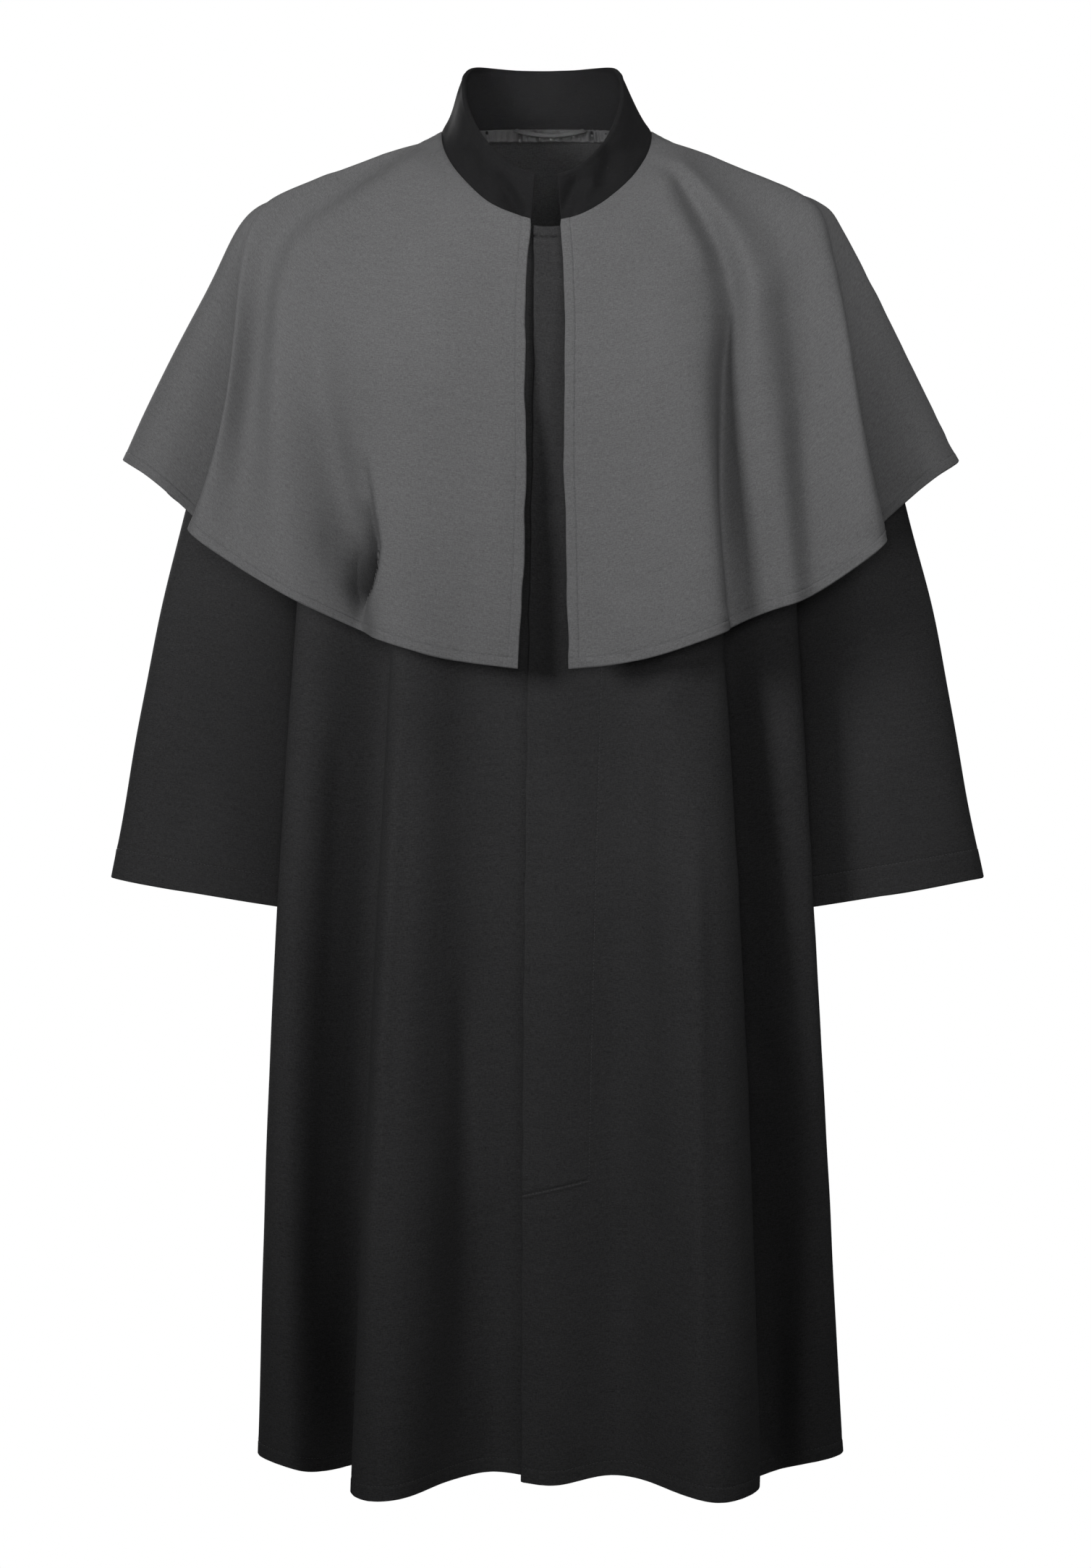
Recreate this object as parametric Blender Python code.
"""A stand-collar gown with a shoulder cape, worn shape with no wearer, in metres.

Origin: the middle of the neck opening, where the wearer's neck and shoulders carry
the gown. +Z up, the front faces -Y, the wearer's left is +X. The outer face of each
cloth piece is worked out in millimetres from the tables below, then given its wall."""

import math

import bpy
import numpy as np


# ---------------------------------------------------------------- sizes, mm
WALL = 2.0            # gown and cape cloth
COLLAR_WALL = 3.2     # two layers and their interfacing
SEAM = 0.5            # gap left between pieces at a seam
NECK_HALF = 94.0      # half width of the neck seam
CAPE_LINES_AT = (0.0, 0.42, 0.70, 1.0)   # shares of the cape's drop where its folds are given
CHEST, CUFF_LEVEL = -300.0, -660.0       # heights where the gown's folds are given

# The smooth cape, from the neck seam (down 0) to the hem (down 1): half widths on
# the wearer's right and left, reach to the front and the back of the middle line,
# and the height at centre front, at the shoulder line and at centre back.
CAPE_SECTIONS = """
down  right  left  front  back  z_front  z_side  z_back
0.00   94    94    110    60    -84      14      27
0.10  134   134    121    78   -123      -7     -16
0.20  175   174    131    94   -162     -26     -60
0.34  229   228    142   109   -217     -45    -127
0.41  254   247    147   114   -245     -54    -160
0.48  272   260    151   118   -272     -71    -194
0.56  288   277    154   123   -303    -102    -233
0.74  325   313    161   134   -373    -173    -320
1.00  375   364    170   150   -470    -277    -445
"""

# Fold lines of the cape. neck is where a line leaves the neck seam, turn how far
# round from centre front it hangs (degrees) and out how far it stands out from the
# smooth cape (mm), each at the shoulder, half way and at the hem. drop is how much
# lower than the smooth hem it ends (mm).
CAPE_RIGHT = """
name          neck  turn_sh  turn_mid  turn_hem  out_sh  out_mid  out_hem  drop
front_edge     8.7    4.2      3.5       3.8        0       0       0      -1
panel         26     14.5     12.5      11.6        1       4       7       0
crest_1       44     33       24.5      18.8        4      12      20       2
lip_1         56     42.5     30.0      22.4       -3       2      10       2
trough_1      66     50.5     35.5      25.6       -4     -15     -19      -2
crest_2       74     59.5     46.5      35.5        2       6       7       2
trough_2      79     66.5     54.0      46.0       -2       0       6       5
crest_3       82     72.0     57.0      53.0        8      16      14       6
turn_3        83.5   75.0     58.8      55.6        9      -2     -10       4
valley_3      85     78.5     62.8      59.8       -2     -34     -56       4
side          88     84.5     76.0      73.0        0      -8     -11      -3
tip           91     90.5     90.5      91.0        0       0       0       0
"""
CAPE_LEFT = """
name          neck  turn_sh  turn_mid  turn_hem  out_sh  out_mid  out_hem  drop
front_edge     7.6    3.6      3.2       3.0        0       0       0      -1
panel         22     12.4     11.2      10.3        1       3       5       0
crest_1       50     27.0     22.6      19.6        9      15      20       1
lip_1         60     34.5     27.6      24.2        2       9      14       1
valley_1      66     40.2     30.2      26.0      -16     -25     -17      -3
rise_1        71     44.5     35.5      31.5        4      -4      -8       0
crest_2       75     50       40.5      35.0        4       4       3       6
trough_2      78     56       45.8      39.0       -1      -5      -4       9
crest_3       82     69.0     57.2      51.2        9      18      16       9
turn_3        84     73.0     59.2      53.8        7      -2     -10       7
valley_3      86     77.5     63.0      58.0       -2     -36     -58       5
side          88.5   84.5     76.5      72.0        0      -9     -14      -1
tip           91     90.5     90.5      91.0        0       0       0       1
"""
CAPE_BACK = """
name          neck  turn_sh  turn_mid  turn_hem  out_sh  out_mid  out_hem  drop
valley_4      98    103      103       104         -1     -10     -22      -9
crest_4      108    116      115       115          2      10      18      -7
valley_5     120    128      128       127         -2     -11     -22      -5
crest_5      134    142      141       141          2      12      23       3
valley_6     150    156      158       158         -1     -11     -20       0
middle_back  180    180      180       180          0       7      14       1
"""

# Fold lines of the gown, from centre front round to the side seam and on to centre
# back: where each leaves the top edge (0 to 1 neckline, to 2 shoulder seam, to 3
# armhole), and its place seen from above at the chest, at the cuffs and at the hem.
GOWN_RIGHT = """
name        top    x_chest y_chest  x_cuff y_cuff  x_hem  y_hem   z_hem
under_edge -0.15     24   -113.5      24   -105      24    -94   -1158
middle      0.11    -19   -114.5     -20   -105     -20    -95   -1156
dip_1       0.32    -45   -116       -44   -103     -48    -88   -1155
rise_1      0.60    -75   -117       -77   -112     -88   -116   -1159
crest_1     1.00    -98   -113      -113   -131    -127   -154   -1165
brow_1      1.20   -113   -109      -134   -128    -151   -149   -1166
edge_1      1.35   -124   -100      -144   -106    -166   -121   -1164
behind_1    1.45   -119    -86      -134    -74    -150    -68   -1164
hollow_1    1.60   -131    -79      -150    -42    -162     16   -1168
rise_2      1.80   -152    -80      -178    -50    -194     -2   -1172
crest_2     2.00   -188    -74      -216    -66    -229    -22   -1165
contour     2.35   -208    -52      -234    -46    -255     12   -1161
return      2.72   -199    -24      -223    -16    -250     46   -1160
side_seam   3.00   -194     12      -196     22    -243     76   -1160
"""
GOWN_LEFT = """
name        top    x_chest y_chest  x_cuff y_cuff  x_hem  y_hem   z_hem
top_edge   -0.07    -12   -119.5     -18   -111     -21   -100   -1161
middle      0.08     14   -120        12   -112      10   -101   -1164
dip_1       0.34     50   -118.5        52   -108      55    -95   -1156
rise_1      0.60     78   -118        84   -116      92   -119   -1159
crest_1     1.00     99   -114       111   -132     126   -151   -1165
brow_1      1.20    120   -106       141   -128     152   -152   -1167
edge_1      1.35    141    -92       164   -103     181   -118   -1163
behind_1    1.45    139    -76       152    -64     167    -60   -1166
hollow_1    1.60    150    -71       160    -30     177     -3   -1180
rise_2      1.80    171    -71       197    -50     206      8   -1173
crest_2     2.00    193    -67       217    -55     228     -8   -1165
contour     2.35    211    -48       232    -46     261     12   -1160
return      2.72    201    -22       220    -14     256     46   -1160
side_seam   3.00    194     12       194     24     249     76   -1160
"""
GOWN_BACK = """
name        top    x_chest y_chest  x_cuff y_cuff  x_hem  y_hem   z_hem
back_rise   2.72    197     46       204     60     250    108   -1160
back_side   2.35    192     76       222    100     246    142   -1164
crest_3     2.00    168     97       192    124     207    164   -1168
hollow_3    1.60    140     98       152     98     170    112   -1164
crest_4     1.00    102    112       112    134     122    166   -1168
hollow_4    0.62     64    112        68    104      74    112   -1162
middle_back 0.00      0    120         0    130       0    150   -1165
"""

# The sleeve's ring at the armhole, below its head and at the cuff: the points
# that lie furthest out and in, and the middle and half depth of the ring.
SLEEVE_SECTIONS = """
name     share  x_out  z_out  x_in  z_in  y_mid  half_depth
armhole   0.00    230    -58   203  -262    14      44
head      0.12    249    -92   204  -293    18      42
upper     0.40    322   -322   204  -425    24      41
fore      0.70    359   -486   206  -550    27      39
cuff      1.00    389   -648   209  -678    28      38
"""


def table(text):
    """A table's columns by name: numbers as arrays, the row names as a list."""
    rows = [line.split() for line in text.strip().splitlines()]
    found = {}
    for i, name in enumerate(rows[0]):
        column = [row[i] for row in rows[1:]]
        found[name] = column if name == "name" else np.array([float(v) for v in column])
    return found


def spline(knots, values, at):
    """The natural cubic spline through values (one row for each knot), read at `at`."""
    knots, values, at = np.asarray(knots, float), np.asarray(values, float), np.asarray(at, float)
    n, flat = len(knots), np.asarray(values, float).reshape(len(knots), -1)
    step = np.diff(knots)
    slope = np.diff(flat, axis=0) / step[:, None]
    a, b = np.eye(n), np.zeros_like(flat)
    for i in range(1, n - 1):
        a[i, i - 1 : i + 2] = step[i - 1], 2 * (step[i - 1] + step[i]), step[i]
        b[i] = 6 * (slope[i] - slope[i - 1])
    bend = np.linalg.solve(a, b)
    j = np.clip(np.searchsorted(knots, at, side="right") - 1, 0, n - 2)
    h, t = step[j][:, None], (at - knots[j])[:, None]
    out = (
        flat[j]
        + t * (slope[j] - h * (2 * bend[j] + bend[j + 1]) / 6)
        + t**2 * bend[j] / 2
        + t**3 * (bend[j + 1] - bend[j]) / (6 * h)
    )
    return out.reshape((len(at),) + values.shape[1:])


def neck(phi):
    """The neck seam, phi degrees round from centre front over the wearer's right."""
    c, s = np.cos(np.radians(phi)), np.sin(np.radians(phi))
    front = c > 0
    y = np.where(front, 12 - 110 * c, 12 - 60 * c)
    z = np.where(front, 14 - 78 * c - 20 * c**3, 14 - 13 * c)
    return np.stack([-NECK_HALF * s, y, z], axis=-1)


def collar_top(phi):
    """The stand collar's upper edge."""
    c, s = np.cos(np.radians(phi)), np.sin(np.radians(phi))
    front = c > 0
    y = np.where(front, 14 - 98 * c, 14 - 52 * c)
    z = np.where(front, 57 - 88 * c - 11 * c**3, 57 + 21.8 * (1 - np.abs(1 + c) ** 3.4))
    lean = -3.6 * np.where(front, 1 - c, 1)
    return np.stack([lean - 70.5 * s, y, z], axis=-1)


def smooth_cape(turn, at):
    """The cape without its folds: turn degrees round (over 180 on the wearer's left), at = one down section."""
    c, s = np.cos(np.radians(turn)), np.sin(np.radians(turn))
    wide = np.where(s > 0, at["right"], at["left"])
    reach = np.where(c > 0, at["front"], at["back"])
    end = np.where(c > 0, at["z_front"], at["z_back"])
    return np.stack([-wide * s, 12 - reach * c, at["z_side"] + (end - at["z_side"]) * c**2], axis=-1)


def cape_section(down):
    t = table(CAPE_SECTIONS)
    names = [k for k in t if k != "down"]
    values = spline(t["down"], np.stack([t[k] for k in names], axis=-1), [down])[0]
    return dict(zip(names, values))


def cape_lines():
    """Every fold line in order, from the right front edge round the back to the left one."""
    keys = ["neck", "turn_sh", "turn_mid", "turn_hem", "out_sh", "out_mid", "out_hem", "drop"]
    right, left, back = (
        np.stack([table(text)[k] for k in keys], axis=-1) for text in (CAPE_RIGHT, CAPE_LEFT, CAPE_BACK)
    )
    turned = lambda rows: np.concatenate([360 - rows[:, :4], rows[:, 4:]], axis=1)[::-1]
    return np.concatenate([right, back, turned(back[:-1]), turned(left)])


def cape_line_points(lines, down):
    """The fold lines' points at one section, and the smooth cape's outward normals there."""
    at, near = cape_section(down), cape_section(down + 0.004)
    knots = CAPE_LINES_AT
    turn = spline(knots, lines[:, :4].T, [down])[0]
    out = spline(knots, np.concatenate([np.zeros((1, len(lines))), lines[:, 4:7].T]), [down])[0]
    out = out * min(1.0, down / 0.12)
    here = smooth_cape(turn, at)
    across = smooth_cape(turn + 0.2, at) - smooth_cape(turn - 0.2, at)
    along = smooth_cape(turn, near) - here
    normal = np.cross(across, along)
    normal /= np.linalg.norm(normal, axis=1)[:, None]
    if down < 1e-6:
        here = neck(lines[:, 0])
    point = here + normal * out[:, None]
    point[:, 2] -= lines[:, 7] * down**2
    return point


def cape_knots(lines):
    """One number for each fold line, by its mean distance from the first."""
    total = 0
    for down in (0.42, 0.7, 1.0):
        points = cape_line_points(lines, down)
        total = total + np.linalg.norm(np.diff(points, axis=0), axis=1)
    knots = np.concatenate([[0], np.cumsum(total)])
    return knots / knots[-1]


def cape_grid(lines, knots, around, downs):
    """Points of the cape's outer face, rows down and columns around. Above down 0.1 each
    column runs smoothly from the neck seam into the cape."""
    row = lambda d: spline(knots, cape_line_points(lines, d), around)
    seam, first = row(0.0), row(0.1)
    slope = (row(0.104) - first) / 0.04
    found = []
    for d in downs:
        if d < 0.1:
            t = d / 0.1
            found.append(
                seam * (1 - 3 * t**2 + 2 * t**3) + first * (3 * t**2 - 2 * t**3)
                + (first - seam) * (t - 2 * t**2 + t**3) + slope * (t**3 - t**2)
            )
        else:
            found.append(row(d))
    return np.array(found)


def gown_lines():
    """Every fold line of the gown in order, from the under edge on the wearer's right
    round the back to the top edge on the left, as stacked columns, and the top values."""
    keys = ["x_chest", "y_chest", "x_cuff", "y_cuff", "x_hem", "y_hem", "z_hem"]
    right, left, back = (table(text) for text in (GOWN_RIGHT, GOWN_LEFT, GOWN_BACK))
    rows = [np.stack([t[k] for k in keys], axis=-1) for t in (right, back, left)]
    mirror = np.array([-1, 1, -1, 1, -1, 1, 1.0])
    lines = np.concatenate([rows[0], rows[1] * mirror, rows[1][-2::-1], rows[2][::-1]])
    tops = np.concatenate([right["top"], 6 - back["top"], 6 + back["top"][-2::-1], 12 - left["top"][::-1]])
    return lines, tops


def sleeve_section(share, side):
    """Middle, long half axis, deep half axis of the sleeve's ring at a share of its length."""
    t = table(SLEEVE_SECTIONS)
    rows = np.stack([t[k] for k in ("x_out", "z_out", "x_in", "z_in", "y_mid", "half_depth")], axis=-1)
    v = spline(t["share"], rows, [share])[0]
    outer = np.array([side * v[0], v[4], v[1]])
    inner = np.array([side * v[2], v[4], v[3]])
    return (outer + inner) / 2, (outer - inner) / 2, np.array([0, v[5], 0])


def armhole(share, side, back):
    """The gown's armhole edge, from the shoulder tip (0) to the underarm (1)."""
    middle, long_axis, deep_axis = sleeve_section(0, side)
    a = np.pi * share
    point = middle + long_axis * np.cos(a) + deep_axis * (np.sin(a) if back else -np.sin(a))
    return point - np.array([side * 3.0, 0, 0])


def gown_top(value):
    """The gown's top edge: 0 centre front, 1 neck point, 2 shoulder tip, 3 underarm on the
    wearer's right, 4 shoulder tip, 5 neck point, 6 centre back, and on to 12 on the left."""
    left = value > 6
    v = 12 - value if left else value
    side = 1 if left else -1
    back = v > 3
    w = 6 - v if back else v
    apart = 1.2 * np.clip(min(w - 0.8, 3 - w) / 0.2, 0, 1) * (1 if back else -1)
    if w <= 1:
        phi = 180 - 84 * w if back else 96 * w
        point = neck(np.array(phi)) * np.array([-side * 1.0, 1, 1])
        draw = 0.012 if back else 0.012 + 0.02 * (1 - w)
        pull = np.array([-point[0] * 0.012, -(point[1] - 12) * draw, -5.0 - 2.5 * w])
        if not left and v < 0.32:
            pull += np.array([0, 3.6, -0.5]) * min(1.0, (0.32 - v) / 0.21)
        return point + pull + np.array([0, apart, 0])
    if w <= 2:
        start = neck(np.array(96.0)) * np.array([-side * 0.988, 1, 1]) + np.array([0, 0, -7.5])
        f = w - 1
        sag = np.array([0, 0, -8.0]) * 4 * f * (1 - f)
        return start + (armhole(0, side, False) - start) * f + sag + np.array([0, apart, 0])
    return armhole(w - 2, side, back) + np.array([0, apart, 0])


def gown_normals(grid, tops):
    """Outward normals of the gown's grid, upright along the shoulder seams."""
    n = normals_of(grid)
    w = np.array([min(v, 6 - v) for v in np.where(tops > 6, 12 - tops, tops)])
    upright = np.clip(np.minimum(w - 0.8, 2.2 - w) / 0.2, 0, 1)[:, None]
    n[0] = n[0] * (1 - upright) + np.array([0, 0, 1.0]) * upright
    n[0] /= np.linalg.norm(n[0], axis=1)[:, None]
    return n


def gown_column(line, top):
    """The functions of one column: its top point, chest point, and its place at a height."""
    x = [line[0], line[2], line[4]]
    y = [line[1], line[3], line[5]]
    z = [CHEST, CUFF_LEVEL, line[6]]

    def below(height):
        found = []
        for v in (x, y):
            total = 0
            for i in range(3):
                term = v[i]
                for j in range(3):
                    if i != j:
                        term = term * (height - z[j]) / (z[i] - z[j])
                total = total + term
            found.append(total)
        return np.array([found[0], found[1], height])

    return gown_top(top), below, z[2]


def gown_grid(lines, tops, knots, around, above, below):
    """Points of the gown's outer face. above and below are shares of the height over the
    chest and under it; rows run down and columns around."""
    line_at = spline(knots, lines, around)
    top_at = np.interp(around, knots, tops)
    columns = []
    for line, top in zip(line_at, top_at):
        start, place, hem = gown_column(line, top)
        chest = place(CHEST)
        lean = (place(CHEST + 10) - chest) / 10
        middle = chest + lean * (start[2] - CHEST) * 0.62
        column = [
            (1 - t) ** 2 * start + 2 * t * (1 - t) * middle + t**2 * chest for t in above
        ]
        column += [place(CHEST + (hem - CHEST) * t) for t in below]
        columns.append(column)
    return np.array(columns).transpose(1, 0, 2)


def gown_knots(lines):
    total = 0
    for i, weight in ((0, 1.0), (2, 1.0), (4, 1.0)):
        total = total + weight * np.linalg.norm(np.diff(lines[:, i : i + 2], axis=0), axis=1)
    knots = np.concatenate([[0], np.cumsum(total)])
    return knots / knots[-1]


def sleeve_grid(side, shares, angles):
    """Points of the sleeve's outer face, rings down its length."""
    rings = []
    for share in shares:
        middle, long_axis, deep_axis = sleeve_section(share, side)
        rings.append(
            [middle + long_axis * math.cos(a) - side * deep_axis * math.sin(a) for a in angles]
        )
    return np.array(rings)


def collar_grid(turns, rises):
    """Points of the collar's outer face, from the seam (0) to the top edge (1)."""
    low, high = neck(turns), collar_top(turns)
    low = low + (high - low) * 0.03
    bow = np.stack([-np.sin(np.radians(turns)), -np.cos(np.radians(turns)), 0 * turns], axis=-1)
    return np.array([low + (high - low) * r + bow * 4 * r * (1 - r) * (6.6 * r - 4.4) for r in rises])


def between(knots, first, last, steps):
    """Numbers from one knot to another, each interval cut into equal steps."""
    found = [knots[first]]
    for i in range(first, last):
        n = steps[i - first] if hasattr(steps, "__len__") else steps
        found += list(knots[i] + (knots[i + 1] - knots[i]) * np.arange(1, n + 1) / n)
    return np.array(found)


def normals_of(grid, ring=False):
    """Outward unit normals of a grid of points, rows down and columns around."""
    if ring:
        across = np.roll(grid, -1, axis=1) - np.roll(grid, 1, axis=1)
    else:
        across = np.gradient(grid, axis=1)
    along = np.gradient(grid, axis=0)
    n = np.cross(across, along)
    return n / np.maximum(np.linalg.norm(n, axis=2), 1e-9)[..., None]


TAPE_WALL, TAPE_DEEP = 1.2, 10.5   # the binding over the back neck seam, inside
LOOP_RADII = (2.0, 0.8)            # the hanger loop's section
LOOP_ENDS, LOOP_SAG = (-28.5, 34.0), 6.0


def tape_grid(turns, falls):
    """Points of the neck tape's outer face, inside the collar's foot, rows down."""
    foot = neck(turns)
    inward = np.array([0, 12, 0]) - foot
    inward[:, 2] = 0
    inward /= np.linalg.norm(inward, axis=1)[:, None]
    rows = []
    for f in falls:
        rows.append(foot + inward * (4.8 - 2.2 * f) + np.array([0, 0, -0.4 - TAPE_DEEP * f]))
    return np.array(rows)


def loop_path(count):
    """The hanger loop's middle line: both ends under the collar's foot, the rest hanging free."""
    t = np.linspace(0, 1, count)
    x = LOOP_ENDS[0] + (LOOP_ENDS[1] - LOOP_ENDS[0]) * t
    phi = 180 + np.degrees(np.arcsin(x / NECK_HALF))
    back = neck(phi)
    hang = 1 - np.abs(2 * t - 1) ** 4
    y = back[:, 1] - 8.6 - 5.0 * hang
    z = back[:, 2] - 1.2 - LOOP_SAG * (1 - (2 * t - 1) ** 2) ** 0.8
    return np.stack([x, y, z], axis=-1)

# ---------------------------------------------------------------- pieces
COLOURS = {
    "gown_cloth": ((0.016, 0.016, 0.017), 0.88),
    "cape_cloth": ((0.105, 0.105, 0.107), 0.90),
    "tape_cloth": ((0.045, 0.045, 0.047), 0.70),
}


def material(name):
    found = bpy.data.materials.get(name)
    if found is None:
        colour, roughness = COLOURS[name]
        found = bpy.data.materials.new(name)
        found.use_nodes = True
        shader = found.node_tree.nodes["Principled BSDF"]
        shader.inputs["Base Color"].default_value = (*colour, 1)
        shader.inputs["Roughness"].default_value = roughness
        shader.inputs["Metallic"].default_value = 0
    return found


def cloth(name, grid, inner, slot, ring=False):
    """A closed wall between a grid's outer face and its inner face, with the rim."""
    rows, cols = grid.shape[:2]
    points = np.concatenate([grid.reshape(-1, 3), inner.reshape(-1, 3)]) / 1000
    half = rows * cols
    at = lambda r, c: r * cols + c % cols
    faces = []
    across = cols if ring else cols - 1
    for r in range(rows - 1):
        for c in range(across):
            a, b, d, e = at(r, c), at(r + 1, c), at(r + 1, c + 1), at(r, c + 1)
            faces += [(a, d, b), (a, e, d)]
            faces += [(a + half, b + half, d + half), (a + half, d + half, e + half)]
    rim = [(at(0, c + 1), at(0, c)) for c in range(across)]
    rim += [(at(rows - 1, c), at(rows - 1, c + 1)) for c in range(across)]
    if not ring:
        rim += [(at(r, 0), at(r + 1, 0)) for r in range(rows - 1)]
        rim += [(at(r + 1, cols - 1), at(r, cols - 1)) for r in range(rows - 1)]
    for a, b in rim:
        faces += [(b, a + half, a), (b, b + half, a + half)]
    mesh = bpy.data.meshes.new(name)
    mesh.from_pydata([tuple(p) for p in points], [], faces)
    mesh.shade_smooth()
    mesh.materials.append(material(slot))
    made = bpy.data.objects.new(name, mesh)
    bpy.context.scene.collection.objects.link(made)
    return made


def panels(grid, inner, slot, pieces):
    """Cuts one sheet into pieces, each (name, first column, last column, gap before, gap after)."""
    for name, first, last, before, after in pieces:
        faces = []
        for face in (grid, inner):
            face = face[:, first : last + 1].copy()
            for end, near, draw in ((0, 1, before), (-1, -2, after)):
                step = face[:, near] - face[:, end]
                face[:, end] += step / np.linalg.norm(step, axis=1)[:, None] * draw
            faces.append(face)
        cloth(name, faces[0], faces[1], slot)


def one(name, grid, wall, slot, ring=False):
    cloth(name, grid, grid - normals_of(grid, ring) * wall, slot, ring)


def tube(name, path, radii, sides, slot):
    """A closed flat cord along a path, its section an ellipse of the two radii."""
    path = np.asarray(path)
    ahead = np.gradient(path, axis=0)
    ahead /= np.linalg.norm(ahead, axis=1)[:, None]
    up = np.cross(ahead, np.array([0, 1, 0]))
    up /= np.linalg.norm(up, axis=1)[:, None]
    out = np.cross(up, ahead)
    rings = []
    for p, u, o in zip(path, up, out):
        rings.append([p + u * radii[0] * math.cos(a) + o * radii[1] * math.sin(a)
                      for a in np.linspace(0, 2 * math.pi, sides + 1)[:-1]])
    points = np.array(rings).reshape(-1, 3) / 1000
    faces = []
    for r in range(len(path) - 1):
        for c in range(sides):
            a, b = r * sides + c, r * sides + (c + 1) % sides
            faces.append((a, a + sides, b + sides, b))
    faces.append(tuple(range(sides)))
    faces.append(tuple(reversed(range((len(path) - 1) * sides, len(path) * sides))))
    mesh = bpy.data.meshes.new(name)
    mesh.from_pydata([tuple(p) for p in points], [], faces)
    mesh.shade_smooth()
    mesh.materials.append(material(slot))
    made = bpy.data.objects.new(name, mesh)
    bpy.context.scene.collection.objects.link(made)
    return made


def make():
    for thing in list(bpy.data.objects):
        bpy.data.objects.remove(thing)

    half = SEAM / 2
    lines, tops = gown_lines()
    knots = gown_knots(lines)
    front = (2, 1, 1, 1, 1, 1, 1, 1, 1, 1, 2, 2, 2)
    back = (2, 2, 2, 1, 2, 4, 4)
    steps = front + back + back[::-1] + front[::-1]
    around = between(knots, 0, len(knots) - 1, steps)
    above, below = np.array([0, 0.22, 0.48, 0.76]), np.linspace(0, 1, 9)
    grid = gown_grid(lines, tops, knots, around, above, below)
    normals = gown_normals(grid, np.interp(around, knots, tops))
    side, end = sum(front), sum(steps)
    panels(grid, grid - normals * WALL, "gown_cloth", (
        ("gown_front_right", 0, side, 0, half),
        ("gown_back", side, end - side, half, half),
        ("gown_front_left", end - side, end, half, 0),
    ))

    turns = np.linspace(0, 2 * math.pi, 21)[:-1]
    shares = np.array([0, 0.12, 0.26, 0.4, 0.6, 0.8, 1.0])
    one("sleeve_right", sleeve_grid(-1, shares, turns), WALL, "gown_cloth", ring=True)
    one("sleeve_left", sleeve_grid(1, shares, turns), WALL, "gown_cloth", ring=True)

    lines = cape_lines()
    knots = cape_knots(lines)
    right = (2, 2, 1, 1, 1, 2, 2, 1, 1, 1, 2, 2)[: len(table(CAPE_RIGHT)["name"]) - 1]
    left = (2, 2, 1, 1, 1, 2, 2, 1, 1, 1, 2, 2)[::-1]
    steps = right + (2,) * (len(knots) - 1 - len(right) - len(left)) + left
    downs = np.array([0, 0.1, 0.2, 0.3, 0.38, 0.46, 0.56, 0.7, 0.85, 1.0])
    grid = cape_grid(lines, knots, between(knots, 0, len(knots) - 1, steps), downs)
    first, last, end = sum(right), sum(steps) - sum(left), sum(steps)
    panels(grid, grid - normals_of(grid) * WALL, "cape_cloth", (
        ("cape_front_right", 0, first, 0, half),
        ("cape_back", first, last, half, half),
        ("cape_front_left", last, end, half, 0),
    ))

    one("stand_collar", collar_grid(np.linspace(8.6, 351.8, 41), np.array([0, 0.33, 0.7, 1.0])), COLLAR_WALL, "gown_cloth")
    one("neck_tape", tape_grid(np.linspace(137, 220, 15), np.array([0, 1.0])), TAPE_WALL, "tape_cloth")
    tube("hanger_loop", loop_path(15), LOOP_RADII, 8, "tape_cloth")


make()
